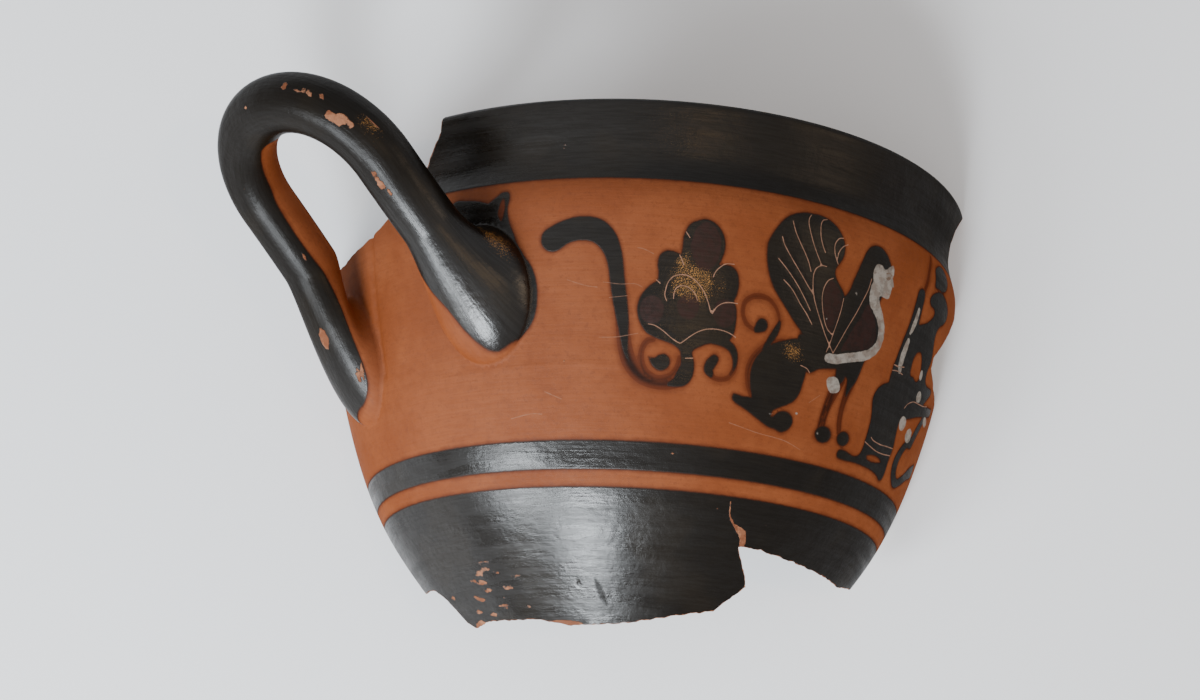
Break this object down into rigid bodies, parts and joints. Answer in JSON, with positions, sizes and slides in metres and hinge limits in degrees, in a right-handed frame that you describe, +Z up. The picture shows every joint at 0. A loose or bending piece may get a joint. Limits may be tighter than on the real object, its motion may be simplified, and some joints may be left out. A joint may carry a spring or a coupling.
{
  "type": "skyphos wall fragment with one handle",
  "caption": "Broken wall of a deep drinking bowl: outcurved rim, full curving wall, one round loop handle, open underneath.",
  "frame": {"origin": "Middle of the bounding box at its base: the fragment lies picture side up on its broken edges", "axes": "+Z up, out of the picture side; +Y towards the bowl's rim; +X to the right of the picture, away from the handle"},
  "size_m": [0.239, 0.1668, 0.1021],
  "materials": {
    "painted_clay": "smooth fired clay with glossy black slip"
  },
  "bodies": {
    "root": {"skyphos_fragment": "painted_clay"}
  },
  "joints": []
}
